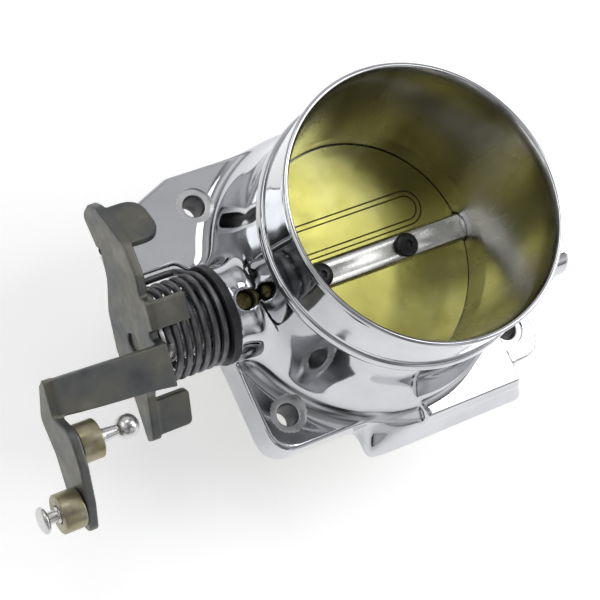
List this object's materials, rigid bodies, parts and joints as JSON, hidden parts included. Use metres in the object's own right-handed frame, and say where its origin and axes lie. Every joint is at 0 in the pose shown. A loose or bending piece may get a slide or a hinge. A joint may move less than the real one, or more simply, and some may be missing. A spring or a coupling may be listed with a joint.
{
  "type": "throttle body",
  "caption": "Polished single-blade throttle body with a round hose inlet, bolt flange, return spring and a stamped lever with a ball stud and linkage pin.",
  "frame": {"origin": "centre of the bore at the back face of the mounting flange", "axes": "+Z along the bore out of the inlet, +X along the throttle shaft towards the sensor pad, +Y across the shaft away from the lower pad"},
  "size_m": [0.1971, 0.1081, 0.0769],
  "materials": {
    "polished_aluminium": "cast and machined, mirror polished outside, satin turned bore",
    "blade_gold": "olive gold, fine satin, plain engraved band",
    "ground_steel": "ground bright steel",
    "black_oxide_steel": "black oxide",
    "spring_steel": "dark oil-tempered wire",
    "black_plastic": "moulded black plastic",
    "grey_zinc_steel": "stamped steel, dull grey zinc with a faint olive cast",
    "yellow_zinc_steel": "pale yellow zinc",
    "bearing_bronze": "oiled bronze",
    "seal_rubber": "moulded black rubber"
  },
  "bodies": {
    "housing": {"throttle_housing": "polished_aluminium", "shaft_seal_left": "seal_rubber", "shaft_bearing_left": "bearing_bronze", "shaft_bearing_right": "bearing_bronze", "shaft_seal_right": "seal_rubber", "boss_lock_screw": "yellow_zinc_steel", "spring_collar": "black_plastic", "return_spring": "spring_steel", "stop_screw": "black_oxide_steel", "stop_screw_nut": "yellow_zinc_steel"},
    "throttle": {"throttle_shaft": "ground_steel", "throttle_plate": "blade_gold", "plate_screw_left": "black_oxide_steel", "plate_screw_right": "black_oxide_steel", "shaft_clip": "black_oxide_steel", "spring_sleeve": "ground_steel", "lever_washer": "ground_steel", "throttle_lever": "grey_zinc_steel", "ball_stud": "ground_steel", "ball_stud_collar": "yellow_zinc_steel", "linkage_pin": "ground_steel", "linkage_pin_collar": "yellow_zinc_steel"}
  },
  "joints": [
    {"name": "throttle_turn", "type": "hinge", "parent": "housing", "child": "throttle", "pos_m": [0, 0, 0.018], "axis": [1, 0, 0], "range_deg": [0, 82], "stiffness_Nm_per_rad": 0.2, "springref_deg": -85.94, "deforming": ["return_spring"]}
  ]
}
